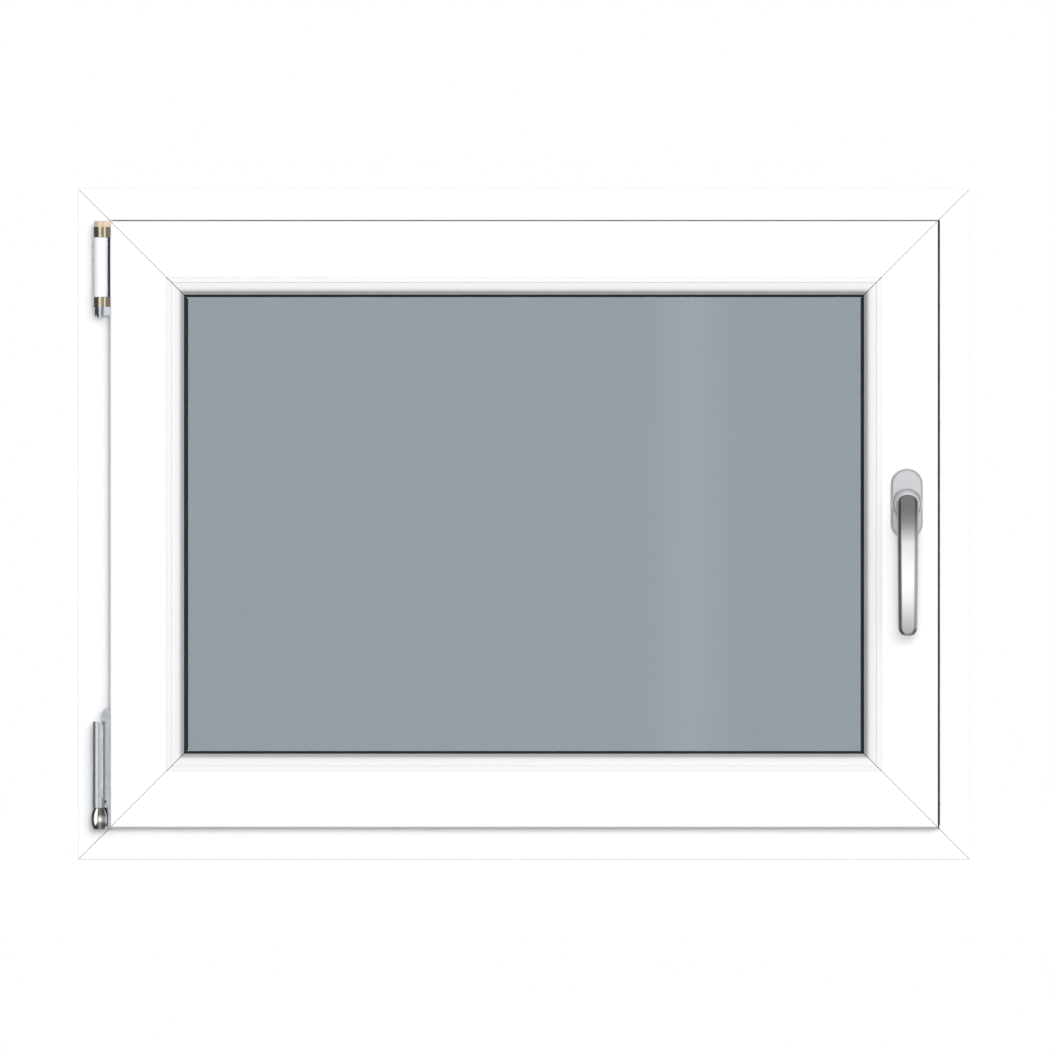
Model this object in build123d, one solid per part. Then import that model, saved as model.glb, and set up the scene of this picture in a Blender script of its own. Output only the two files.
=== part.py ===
from build123d import *
import os
from math import asin, cos, degrees, radians, sin, sqrt

# Tilt-and-turn window with one inward-opening sash, closed.
# Millimetres, +Z up, the room on the -Y side: the handle faces -Y and the hinges sit on the -X side.
# The origin is the middle of the frame's underside.
# Profile sections are drawn as (u, v): u runs inward from the frame's outer edge in the plane of the
# window, v runs from the weather face of the frame towards the room.

# Window size
FRAME_WIDTH = 900.0
FRAME_HEIGHT = 677.0
FRAME_DEPTH = 70.0

# Frame profile
FRAME_FACE = 41.0
FRAME_LEG_RISE = 21.0
FRAME_LEG_THICKNESS = 22.0
REBATE_FALL = 3.0
LEG_SLOPE_RUN = 5.0
LEG_SLOPE_DROP = 4.0
ANCHOR_MOUTH = 6.0
ANCHOR_BASE = 9.0
ANCHOR_DEPTH = 4.0
ANCHOR_FROM_FACE = 17.0

# Sash profile
SASH_OVERLAP = 8.0
SASH_DEPTH = 70.0
SASH_FACE = 56.5
SASH_LEG_RISE = 18.5
SASH_LEG_THICKNESS = 18.0
HARDWARE_GAP = 12.0
HARDWARE_GROOVE_WIDTH = 12.0
HARDWARE_GROOVE_DEPTH = 3.0
HARDWARE_GROOVE_FROM_LIP = 7.0
SNAP_GROOVE_WIDTH = 4.0
SNAP_GROOVE_DEPTH = 3.0
SNAP_GROOVE_FROM_FACE = 12.0

# Edge rounds and welded corners
EDGE_ROUND = 1.0
SOFT_ROUND = 2.5
FINE_ROUND = 0.6
WELD_GROOVE = 1.0

# Seals
SEAL_GAP = 4.0
SEAL_ROOT_WIDTH = 3.0
SEAL_ROOT_DEPTH = 3.0
GASKET_SHOW = 2.2
GASKET_LIP = 1.2
BEAD_SEAL_SHOW = {"bottom": 2.7, "left": 4.2, "top": 2.2, "right": 3.4}
SASH_SEAL_REVEAL = {"bottom": -1.5, "left": -1.5, "top": 0.8, "right": 1.7}
SASH_SEAL_INNER = 6.5

# Glazing
PANE_THICKNESS = 4.0
PANE_GAP = 16.0
PANE_EDGE_GAP = 5.0
SPACER_EDGE = 1.0
SPACER_HEIGHT = 10.5

# Glazing bead
BEAD_HEIGHT = 17.5
BEAD_SEAL = 3.0
BEAD_BAND = 5.2
BEAD_STEP = 1.2
BEAD_STEP_RUN = 0.4
BEAD_SHOULDER_RUN = 8.6
BEAD_SHOULDER_DROP = 3.2
BEAD_SHOULDER_ROUND = 7.0
BEAD_NOSE_DEPTH = 2.4
BEAD_HEEL = 2.0
BEAD_MITRE_GAP = 0.6
BEAD_FOOT_CLEARANCE = 0.3

# Handle
HANDLE_FROM_SASH_EDGE = 31.5
HANDLE_HEIGHT = 359.0
ROSETTE_WIDTH = 33.0
ROSETTE_LENGTH = 72.0
ROSETTE_DEPTH = 10.0
ROSETTE_TAPER = 4.0
ROSETTE_ROUND = 2.5
ROSETTE_POCKET = 6.0
COLLAR_RADIUS = 15.5
COLLAR_DEPTH = 8.0
COLLAR_FRONT_RADIUS = 14.4
COLLAR_BEVEL = 1.5
NECK_RADIUS = 9.2
NECK_CLEARANCE = 0.35
NECK_END_GAP = 0.5
NECK_REACH = 34.0
LEVER_LENGTH = 134.0
LEVER_HEAD_RADIUS = 10.7
LEVER_TIP_RADIUS = 9.7
LEVER_FRONT = 61.0
LEVER_HEAD_THICKNESS = 17.0
LEVER_TIP_THICKNESS = 11.0
LEVER_ARCH_RISE = 4.0
LEVER_ARCH_RADII = (420.0, 150.0, 60.0)
LEVER_ARCH_TURNS = (4.0, 10.0, 20.0)
LEVER_BOW_RADIUS = 360.0
LEVER_ARMPIT_RADIUS = 8.0
LEVER_EDGE_ROUND = 4.6

# Hinge side
HINGE_FROM_SASH_EDGE = 10.5
HINGE_FROM_SASH_FACE = 5.0
HINGE_RUNNING_GAP = 0.4
HINGE_PIN_RADIUS = 3.0
HINGE_PIN_FIT = 0.1
BRACKET_THICKNESS = 3.5
BRACKET_HALF_WIDTH = 8.0
WEB_THICKNESS = 4.0
BAND_THICKNESS = 2.0
BAND_FROM_SASH_FACE = 3.0
BAND_FROM_LIP_BACK = 3.0

# Stay bearing at the top of the hinge side, heights down from the sash's top edge
STAY_TOP_STRAP = 6.0
STAY_EYE_HEIGHT = 10.2
STAY_CAP_HEIGHT = 60.6
STAY_FOOT_STRAP = 8.0
STAY_EYE_RADIUS = 6.2
STAY_STRAP_RADIUS = 5.3
STAY_CAP_RADIUS = 7.2
STAY_CAP_SHIFT = 0.8
STAY_CAP_WALL = 1.0
STAY_CAP_SLOT = 8.0
STAY_BARREL_GAP = 0.3
STAY_PIN_END = 2.0
STAY_LEAF_SETBACK = 15.0

# Corner hinge at the bottom of the hinge side, heights up from the sash's bottom edge
CORNER_BAND_HEIGHT = 120.0
CORNER_BAND_THICKNESS = 7.0
CORNER_BAND_SETBACK = 1.0
CORNER_BARREL_BOTTOM = 20.0
CORNER_BARREL_HEIGHT = 86.5
CORNER_BARREL_RADIUS = 6.8
CORNER_WEB_HALF_DEPTH = 4.0
CORNER_GROOVE_WIDTH = 3.2
CORNER_GROOVE_DEPTH = 0.5
CORNER_GROOVE_FOOT = 10.0
CORNER_GROOVE_HEAD = 3.0
CORNER_POT_RADIUS = 8.9
CORNER_POT_FOOT_RADIUS = 6.6
CORNER_POT_RIM_RADIUS = 6.0
CORNER_POT_BELLY = 0.45
CORNER_POT_DROP = 1.6
CORNER_BRACKET_HEIGHT = 62.0
CORNER_ARM_HEIGHT = 14.0

# Drainage of the bottom frame member, on the weather face
DRAIN_SPACING = 500.0
DRAIN_SLOT_LENGTH = 28.0
DRAIN_SLOT_HEIGHT = 5.0
DRAIN_SLOT_DEPTH = 12.0
DRAIN_FROM_BOTTOM = 22.0
DRAIN_CAP_LENGTH = 42.0
DRAIN_CAP_HEIGHT = 13.0
DRAIN_CAP_DEPTH = 6.0
DRAIN_CAP_WALL = 1.5
DRAIN_CAP_ROUND = 1.5

# Positions that follow from the sizes above: in-plane distances u
frame_leg_u = FRAME_FACE + FRAME_LEG_RISE
sash_edge_u = FRAME_FACE - SASH_OVERLAP
sash_body_u = FRAME_FACE + HARDWARE_GAP
bead_joint_u = sash_edge_u + SASH_FACE
sash_leg_u = bead_joint_u + SASH_LEG_RISE
bead_edge_u = bead_joint_u + BEAD_HEIGHT
sight_u = bead_edge_u + GASKET_SHOW
pane_edge_u = bead_joint_u + PANE_EDGE_GAP

# Depths v
sash_back_v = FRAME_LEG_THICKNESS + SEAL_GAP
sash_room_v = sash_back_v + SASH_DEPTH
lip_back_v = FRAME_DEPTH + SEAL_GAP
glazing_back_v = sash_back_v + SASH_LEG_THICKNESS
outer_pane_v = glazing_back_v + SEAL_GAP
spacer_v = outer_pane_v + PANE_THICKNESS
inner_pane_v = spacer_v + PANE_GAP
glass_room_v = inner_pane_v + PANE_THICKNESS
bead_back_v = glass_room_v + BEAD_SEAL
snap_front_v = sash_room_v - SNAP_GROOVE_FROM_FACE
snap_back_v = snap_front_v - SNAP_GROOVE_WIDTH

# World positions
frame_room_y = -FRAME_DEPTH / 2
frame_weather_y = FRAME_DEPTH / 2
sash_room_y = frame_weather_y - sash_room_v
lip_back_y = frame_weather_y - lip_back_v
sash_left_x = sash_edge_u - FRAME_WIDTH / 2
sash_top_z = FRAME_HEIGHT - sash_edge_u
handle_x = FRAME_WIDTH / 2 - sash_edge_u - HANDLE_FROM_SASH_EDGE
hinge_x = sash_left_x - HINGE_FROM_SASH_EDGE
hinge_y = sash_room_y + HINGE_FROM_SASH_FACE

SIDES = ("bottom", "top", "left", "right")
PROFILE_PLANE = Plane(origin=(0, frame_weather_y, 0), x_dir=(0, 0, 1), z_dir=(1, 0, 0))


def side_length(side):
    """Length of the frame along one side."""
    return FRAME_WIDTH if side in ("bottom", "top") else FRAME_HEIGHT


def side_location(side):
    """Place of a bar drawn along X with its outer edge at z = 0."""
    places = {
        "bottom": Location((0, 0, 0), (0, 0, 0)),
        "top": Location((0, 0, FRAME_HEIGHT), (0, 180, 0)),
        "left": Location((-FRAME_WIDTH / 2, 0, FRAME_HEIGHT / 2), (0, 90, 0)),
        "right": Location((FRAME_WIDTH / 2, 0, FRAME_HEIGHT / 2), (0, -90, 0)),
    }
    return places[side]


def section(outline):
    """Closed profile section from (u, v, corner radius) points."""
    points = [(u, v) for u, v, _ in outline]
    radii = [radius for _, _, radius in outline]
    return PROFILE_PLANE * make_face(FilletPolyline(points, radius=radii, close=True))


def weld_cutter(length, end, v, start_u, stop_u):
    """Square prism along a mitre, half sunk in the face at depth v."""
    corner = (end * (length / 2 - start_u), frame_weather_y - v, start_u)
    along = Plane(origin=corner, x_dir=(0, 1, 0), z_dir=(-end, 0, 1))
    diamond = Rectangle(WELD_GROOVE, WELD_GROOVE, rotation=45)
    return extrude(along * diamond, amount=(stop_u - start_u) * sqrt(2))


def mitred_bar(profile, side, gap=0.0, welds=()):
    """Bar of one profile along one side, its ends cut on the 45 degree mitres."""
    length = side_length(side)
    half = length / 2 - gap / sqrt(2)
    reach = min(FRAME_WIDTH, FRAME_HEIGHT) / 3
    ends = [(-half, 0), (half, 0), (half - reach, reach), (reach - half, reach)]
    trim = extrude(Plane.XZ * make_face(Polyline(*ends, close=True)), amount=2 * FRAME_DEPTH, both=True)
    bar = extrude(profile, amount=length / 2, both=True) & trim
    for v, start_u, stop_u in welds:
        for end in (-1, 1):
            bar -= weld_cutter(length, end, v, start_u, stop_u)
    return side_location(side) * bar


def ring(profiles, gap=0.0):
    """Four mitred bars joined into one closed ring."""
    joined = mitred_bar(profiles["bottom"], "bottom", gap)
    for side in SIDES[1:]:
        joined += mitred_bar(profiles[side], side, gap)
    return joined


def even_ring(outline):
    """Ring with the same section on all four sides."""
    profile = section(outline)
    return ring({side: profile for side in SIDES})


def anchor_groove(v):
    """Dovetail groove in the frame's outer face, as points from the weather side to the room side."""
    return [
        (0, v + ANCHOR_MOUTH / 2, 0),
        (ANCHOR_DEPTH, v + ANCHOR_BASE / 2, 0),
        (ANCHOR_DEPTH, v - ANCHOR_BASE / 2, 0),
        (0, v - ANCHOR_MOUTH / 2, 0),
    ]


def frame_section():
    """Frame profile with its weather leg, drained rebate and wall anchor grooves."""
    seal_u = frame_leg_u - SEAL_ROOT_WIDTH
    return section([
        (0, 0, EDGE_ROUND),
        (frame_leg_u - LEG_SLOPE_RUN, 0, SOFT_ROUND),
        (frame_leg_u, LEG_SLOPE_DROP, EDGE_ROUND),
        (frame_leg_u, FRAME_LEG_THICKNESS, EDGE_ROUND),
        (seal_u, FRAME_LEG_THICKNESS, 0),
        (seal_u, FRAME_LEG_THICKNESS - SEAL_ROOT_DEPTH, 0),
        (seal_u - SEAL_ROOT_WIDTH, FRAME_LEG_THICKNESS - SEAL_ROOT_DEPTH, 0),
        (seal_u - SEAL_ROOT_WIDTH, FRAME_LEG_THICKNESS, 0),
        (FRAME_FACE - REBATE_FALL, FRAME_LEG_THICKNESS, EDGE_ROUND),
        (FRAME_FACE, FRAME_DEPTH, EDGE_ROUND),
        (0, FRAME_DEPTH, EDGE_ROUND),
        *anchor_groove(FRAME_DEPTH - ANCHOR_FROM_FACE),
        *anchor_groove(ANCHOR_FROM_FACE),
    ])


def sash_section():
    """Sash profile with its overlap lip, hardware groove, weather leg and bead groove."""
    seal_u = sash_edge_u + SEAL_ROOT_WIDTH
    groove_front_v = lip_back_v - HARDWARE_GROOVE_FROM_LIP
    groove_back_v = groove_front_v - HARDWARE_GROOVE_WIDTH
    leg_seal_u = sash_leg_u - SEAL_ROOT_WIDTH
    return section([
        (sash_edge_u, sash_room_v, SOFT_ROUND),
        (sash_edge_u, lip_back_v, EDGE_ROUND),
        (seal_u, lip_back_v, 0),
        (seal_u, lip_back_v + SEAL_ROOT_DEPTH, 0),
        (seal_u + SEAL_ROOT_WIDTH, lip_back_v + SEAL_ROOT_DEPTH, 0),
        (seal_u + SEAL_ROOT_WIDTH, lip_back_v, 0),
        (sash_body_u, lip_back_v, EDGE_ROUND),
        (sash_body_u, groove_front_v, 0),
        (sash_body_u + HARDWARE_GROOVE_DEPTH, groove_front_v, 0),
        (sash_body_u + HARDWARE_GROOVE_DEPTH, groove_back_v, 0),
        (sash_body_u, groove_back_v, 0),
        (sash_body_u, sash_back_v, EDGE_ROUND),
        (sash_leg_u - LEG_SLOPE_RUN, sash_back_v, SOFT_ROUND),
        (sash_leg_u, sash_back_v + LEG_SLOPE_DROP, EDGE_ROUND),
        (sash_leg_u, glazing_back_v, EDGE_ROUND),
        (leg_seal_u, glazing_back_v, 0),
        (leg_seal_u, glazing_back_v - SEAL_ROOT_DEPTH, 0),
        (leg_seal_u - SEAL_ROOT_WIDTH, glazing_back_v - SEAL_ROOT_DEPTH, 0),
        (leg_seal_u - SEAL_ROOT_WIDTH, glazing_back_v, 0),
        (bead_joint_u, glazing_back_v, FINE_ROUND),
        (bead_joint_u, snap_back_v, 0),
        (bead_joint_u - SNAP_GROOVE_DEPTH, snap_back_v, 0),
        (bead_joint_u - SNAP_GROOVE_DEPTH, snap_front_v, 0),
        (bead_joint_u, snap_front_v, 0),
        (bead_joint_u, sash_room_v, FINE_ROUND),
    ])


def bead_section():
    """Glazing bead: flush band, small step, sloped shoulder and rounded nose, with a snap foot."""
    band_u = bead_joint_u + BEAD_BAND
    step_v = sash_room_v - BEAD_STEP
    foot_u = bead_joint_u - SNAP_GROOVE_DEPTH + BEAD_FOOT_CLEARANCE
    return section([
        (bead_joint_u, sash_room_v, FINE_ROUND),
        (band_u, sash_room_v, FINE_ROUND / 2),
        (band_u + BEAD_STEP_RUN, step_v, FINE_ROUND / 2),
        (band_u + BEAD_SHOULDER_RUN, sash_room_v - BEAD_SHOULDER_DROP, BEAD_SHOULDER_ROUND),
        (bead_edge_u, bead_back_v + BEAD_NOSE_DEPTH, FINE_ROUND),
        (bead_edge_u, bead_back_v, 0),
        (bead_joint_u + BEAD_HEEL, bead_back_v, 0),
        (bead_joint_u, bead_back_v + BEAD_HEEL, 0),
        (bead_joint_u, snap_back_v + BEAD_FOOT_CLEARANCE, 0),
        (foot_u, snap_back_v + BEAD_FOOT_CLEARANCE, 0),
        (foot_u, snap_front_v - BEAD_FOOT_CLEARANCE, 0),
        (bead_joint_u, snap_front_v - BEAD_FOOT_CLEARANCE, 0),
    ])


def frame_seal():
    """Weather seal keyed in the frame leg, against the back of the sash."""
    root_u = frame_leg_u - 2 * SEAL_ROOT_WIDTH
    return even_ring([
        (root_u, FRAME_LEG_THICKNESS - SEAL_ROOT_DEPTH, 0),
        (root_u + SEAL_ROOT_WIDTH, FRAME_LEG_THICKNESS - SEAL_ROOT_DEPTH, 0),
        (root_u + SEAL_ROOT_WIDTH, FRAME_LEG_THICKNESS, 0),
        (frame_leg_u - EDGE_ROUND, FRAME_LEG_THICKNESS, 0),
        (frame_leg_u - SEAL_ROOT_WIDTH, sash_back_v, 0),
        (sash_body_u + EDGE_ROUND, sash_back_v, 0),
        (root_u - EDGE_ROUND, FRAME_LEG_THICKNESS, 0),
        (root_u, FRAME_LEG_THICKNESS, 0),
    ])


def sash_seal_section(reveal):
    """Overlap seal keyed in the sash lip, against the room face of the frame."""
    root_u = sash_edge_u + SEAL_ROOT_WIDTH
    outer_u = sash_edge_u - reveal
    return section([
        (outer_u, FRAME_DEPTH, 0),
        (sash_edge_u + SASH_SEAL_INNER, FRAME_DEPTH, 0),
        (sash_edge_u + SASH_SEAL_INNER + EDGE_ROUND, lip_back_v, 0),
        (root_u + SEAL_ROOT_WIDTH, lip_back_v, 0),
        (root_u + SEAL_ROOT_WIDTH, lip_back_v + SEAL_ROOT_DEPTH, 0),
        (root_u, lip_back_v + SEAL_ROOT_DEPTH, 0),
        (root_u, lip_back_v, 0),
        (outer_u, lip_back_v, 0),
    ])


def sash_seal():
    """Overlap seal, showing a little past the sash on its top and handle sides."""
    return ring({side: sash_seal_section(SASH_SEAL_REVEAL[side]) for side in SIDES})


def outer_glazing_seal():
    """Seal between the sash leg and the outer pane."""
    root_u = sash_leg_u - 2 * SEAL_ROOT_WIDTH
    return even_ring([
        (pane_edge_u + SEAL_ROOT_WIDTH, glazing_back_v, 0),
        (root_u, glazing_back_v, 0),
        (root_u, glazing_back_v - SEAL_ROOT_DEPTH, 0),
        (root_u + SEAL_ROOT_WIDTH, glazing_back_v - SEAL_ROOT_DEPTH, 0),
        (root_u + SEAL_ROOT_WIDTH, glazing_back_v, 0),
        (sash_leg_u, glazing_back_v, 0),
        (sight_u, outer_pane_v - GASKET_LIP, 0),
        (sight_u, outer_pane_v, 0),
        (pane_edge_u + SEAL_ROOT_WIDTH, outer_pane_v, 0),
    ])


def bead_seal_section(show):
    """Seal of the bead against the inner pane, its lip showing beside the glass."""
    return section([
        (pane_edge_u + SEAL_ROOT_WIDTH, glass_room_v, 0),
        (bead_edge_u + show, glass_room_v, 0),
        (bead_edge_u + show, glass_room_v + GASKET_LIP, 0),
        (bead_edge_u, bead_back_v + BEAD_NOSE_DEPTH / 2, 0),
        (bead_edge_u, bead_back_v, 0),
        (pane_edge_u + SEAL_ROOT_WIDTH, bead_back_v, 0),
    ])


def bead_seal():
    """Ring of bead seals, its lip pressed out further on the upright sides."""
    return ring({side: bead_seal_section(BEAD_SEAL_SHOW[side]) for side in SIDES})


def pane(back_v):
    """One sheet of glass."""
    middle = (0, frame_weather_y - back_v - PANE_THICKNESS / 2, FRAME_HEIGHT / 2)
    return Pos(*middle) * Box(FRAME_WIDTH - 2 * pane_edge_u, PANE_THICKNESS, FRAME_HEIGHT - 2 * pane_edge_u)


def spacer():
    """Spacer with its edge seal, closing the gap between the panes."""
    outer_u = pane_edge_u + SPACER_EDGE
    inner_u = outer_u + SPACER_HEIGHT
    return even_ring([
        (outer_u, spacer_v, 0),
        (inner_u, spacer_v, 0),
        (inner_u, inner_pane_v, 0),
        (outer_u, inner_pane_v, 0),
    ])


# Handle
handle_plane = Plane(origin=(handle_x, sash_room_y, HANDLE_HEIGHT), x_dir=(1, 0, 0), z_dir=(0, -1, 0))
neck_bore = NECK_RADIUS + NECK_CLEARANCE


def handle_disc(radius, start, depth):
    """Cylinder on the handle axis, from one distance off the sash face."""
    return extrude(handle_plane.offset(start) * Circle(radius), amount=depth)


def handle_rosette():
    """Stadium-shaped rosette with a pocket for the lever's neck."""
    base = handle_plane * SlotOverall(ROSETTE_LENGTH, ROSETTE_WIDTH, rotation=90)
    body = extrude(base, amount=ROSETTE_DEPTH, taper=ROSETTE_TAPER)
    front = body.faces().sort_by(Axis.Y)[0]
    body = fillet(front.edges(), ROSETTE_ROUND)
    return body - handle_disc(neck_bore, ROSETTE_DEPTH - ROSETTE_POCKET, 2 * ROSETTE_POCKET)


def handle_collar():
    """Turned boss on the rosette that guides the neck."""
    front = ROSETTE_DEPTH + COLLAR_DEPTH
    outline = [
        (neck_bore, ROSETTE_DEPTH),
        (COLLAR_RADIUS, ROSETTE_DEPTH),
        (COLLAR_FRONT_RADIUS, front - COLLAR_BEVEL),
        (COLLAR_FRONT_RADIUS - COLLAR_BEVEL, front),
        (neck_bore, front),
    ]
    along = Plane(origin=handle_plane.origin, x_dir=(1, 0, 0), z_dir=(0, 0, 1))
    half = [(radius, -out) for radius, out in outline]
    return revolve(along * make_face(Polyline(*half, close=True)), Axis(handle_plane.origin, (0, 1, 0)))


def lever_front_view():
    """Tapered outline of the lever as seen from the room, drawn out through its whole thickness."""
    tip_down = LEVER_LENGTH - LEVER_TIP_RADIUS
    lean = asin((LEVER_HEAD_RADIUS - LEVER_TIP_RADIUS) / tip_down)
    head = (LEVER_HEAD_RADIUS * cos(lean), -LEVER_HEAD_RADIUS * sin(lean))
    tip = (LEVER_TIP_RADIUS * cos(lean), -tip_down - LEVER_TIP_RADIUS * sin(lean))
    outline = [
        ThreePointArc(head, (0, LEVER_HEAD_RADIUS), (-head[0], head[1])),
        Line((-head[0], head[1]), (-tip[0], tip[1])),
        ThreePointArc((-tip[0], tip[1]), (0, -LEVER_LENGTH), tip),
        Line(tip, head),
    ]
    return extrude(handle_plane * make_face(outline), amount=2 * LEVER_FRONT)


def lever_arch():
    """Front line of the lever from its crest up to the neck: arcs that grow tighter towards the head."""
    arcs = []
    point = Vector(LEVER_FRONT, 0)
    heading = Vector(0, -1)
    for radius, turn in zip(LEVER_ARCH_RADII, LEVER_ARCH_TURNS):
        arcs.append(JernArc(point, heading, radius, -turn))
        point = arcs[-1] @ 1
        heading = arcs[-1] % 1
    turned = sum(LEVER_ARCH_TURNS)
    last_radius = (point.X - NECK_REACH) / cos(radians(turned))
    arcs.append(JernArc(point, heading, last_radius, turned - 90))
    return arcs


def lever_side_view():
    """Arched outline of the lever as seen from the side, drawn out through its whole width."""
    arch = lever_arch()
    top = -LEVER_HEAD_RADIUS - LEVER_ARCH_RISE
    crest = top - (arch[-1] @ 1).Y
    bottom = LEVER_LENGTH + LEVER_ARCH_RISE
    middle = LEVER_LENGTH / 2
    bow_turn = degrees(asin((bottom - crest) / LEVER_BOW_RADIUS))
    bow = JernArc((LEVER_FRONT, crest), (0, 1), LEVER_BOW_RADIUS, bow_turn)
    tip_front = (bow @ 1).X
    back = FilletPolyline(
        (tip_front - LEVER_TIP_THICKNESS, bottom),
        (LEVER_FRONT - LEVER_HEAD_THICKNESS, middle),
        (LEVER_FRONT - LEVER_HEAD_THICKNESS, LEVER_HEAD_RADIUS),
        (NECK_REACH, LEVER_HEAD_RADIUS),
        radius=[LEVER_BOW_RADIUS, LEVER_ARMPIT_RADIUS],
    )
    outline = [Pos(0, crest) * arc for arc in arch]
    outline += [bow, Line(bow @ 1, back @ 0), back, Line(back @ 1, (NECK_REACH, top))]
    side = Plane(origin=handle_plane.origin, x_dir=(0, -1, 0), z_dir=(1, 0, 0))
    return extrude(side * make_face(outline), amount=2 * LEVER_HEAD_RADIUS, both=True)


def handle_lever():
    """Lever: arched blade with rounded edges, on a round neck that turns in the collar."""
    blade = lever_side_view() & lever_front_view()
    rims = [edge for edge in blade.edges() if edge.bounding_box().size.Z > LEVER_ARMPIT_RADIUS]
    blade = fillet(rims, LEVER_EDGE_ROUND)
    neck_start = ROSETTE_DEPTH - ROSETTE_POCKET + NECK_END_GAP
    return blade + handle_disc(NECK_RADIUS, neck_start, NECK_REACH - neck_start)


# Hinge side
def hinge_disc(radius, bottom, top):
    """Upright cylinder on the hinge axis."""
    return Pos(hinge_x, hinge_y, (bottom + top) / 2) * Cylinder(radius, top - bottom)


def block(x_range, y_range, z_range):
    """Box between two corners."""
    size = [high - low for low, high in (x_range, y_range, z_range)]
    middle = [(high + low) / 2 for low, high in (x_range, y_range, z_range)]
    return Pos(*middle) * Box(*size)


def hinge_base(bottom, top):
    """Bracket plate on the room face of the frame, behind the hinge axis."""
    x_range = (hinge_x - BRACKET_HALF_WIDTH, hinge_x + BRACKET_HALF_WIDTH)
    plate = block(x_range, (frame_room_y - BRACKET_THICKNESS, frame_room_y), (bottom, top))
    return fillet(plate.edges().filter_by(Axis.Y), BRACKET_HALF_WIDTH / 2)


def hinge_web(bottom, top):
    """Rib from the bracket plate out to the hinge axis."""
    x_range = (hinge_x - WEB_THICKNESS / 2, hinge_x + WEB_THICKNESS / 2)
    return block(x_range, (hinge_y, frame_room_y - BRACKET_THICKNESS), (bottom, top))


def band_plate(thickness, setback, bottom, top):
    """Leaf on the edge of the sash, its front set back from the sash's face."""
    y_range = (sash_room_y + setback, lip_back_y - BAND_FROM_LIP_BACK)
    return block((sash_left_x - thickness, sash_left_x), y_range, (bottom, top))


def band_arm(half_depth, bottom, top):
    """Arm from the sash edge to the hinge axis."""
    return block((hinge_x, sash_left_x), (hinge_y - half_depth, hinge_y + half_depth), (bottom, top))


stay_eye_top = sash_top_z - STAY_TOP_STRAP
stay_cap_top = stay_eye_top - STAY_EYE_HEIGHT
stay_cap_bottom = stay_cap_top - STAY_CAP_HEIGHT
stay_eye_bottom = stay_cap_bottom - STAY_EYE_HEIGHT
stay_bottom = stay_eye_bottom - STAY_FOOT_STRAP
stay_barrel_radius = STAY_CAP_RADIUS - STAY_CAP_WALL - STAY_BARREL_GAP - STAY_CAP_SHIFT
pin_bore = HINGE_PIN_RADIUS + HINGE_PIN_FIT


def stay_bearing_bracket():
    """Frame side of the stay bearing: plate, rib and barrel."""
    bottom = stay_cap_bottom + HINGE_RUNNING_GAP
    top = stay_cap_top - HINGE_RUNNING_GAP
    body = hinge_base(bottom, top) + hinge_web(bottom, top)
    body += hinge_disc(stay_barrel_radius, bottom, top)
    return body - hinge_disc(pin_bore, bottom, top)


def stay_bearing_cap():
    """Clip-on cover round the barrel, a little nearer to the sash than the hinge axis and open towards the frame."""
    bottom = stay_cap_bottom + HINGE_RUNNING_GAP
    top = stay_cap_top - HINGE_RUNNING_GAP
    shell = hinge_disc(STAY_CAP_RADIUS, bottom, top)
    shell -= hinge_disc(STAY_CAP_RADIUS - STAY_CAP_WALL, bottom, top)
    x_range = (hinge_x - STAY_CAP_SLOT / 2, hinge_x + STAY_CAP_SLOT / 2)
    shell -= block(x_range, (hinge_y, hinge_y + 2 * STAY_CAP_RADIUS), (bottom, top))
    return Pos(STAY_CAP_SHIFT, 0, 0) * shell


def stay_level(radius, bottom, top):
    """One level of the sash side of the stay bearing: leaf, arm and eye."""
    body = band_plate(BAND_THICKNESS, BAND_FROM_SASH_FACE, bottom, top)
    body += band_arm(radius - WEB_THICKNESS / 2, bottom, top)
    return body + hinge_disc(radius, bottom, top) - hinge_disc(pin_bore, bottom, top)


def stay_arm_band():
    """Sash side of the stay bearing: leaf with two eyes, and the strap end below them."""
    body = band_plate(BAND_THICKNESS, STAY_LEAF_SETBACK, stay_cap_bottom, stay_cap_top)
    body += stay_level(STAY_EYE_RADIUS, stay_cap_top, stay_eye_top)
    body += stay_level(STAY_EYE_RADIUS, stay_eye_bottom, stay_cap_bottom)
    return body + stay_level(STAY_STRAP_RADIUS, stay_bottom, stay_eye_bottom)


def stay_top_strap():
    """End of the stay arm above the upper eye."""
    return stay_level(STAY_STRAP_RADIUS, stay_eye_top, sash_top_z)


def stay_bearing_pin():
    """Hinge pin through the stay bearing."""
    return hinge_disc(HINGE_PIN_RADIUS, stay_bottom - STAY_PIN_END, sash_top_z)


corner_barrel_bottom = sash_edge_u + CORNER_BARREL_BOTTOM
corner_barrel_top = corner_barrel_bottom + CORNER_BARREL_HEIGHT
corner_pot_bottom = sash_edge_u - CORNER_POT_DROP
corner_pot_top = corner_barrel_bottom - HINGE_RUNNING_GAP


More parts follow.
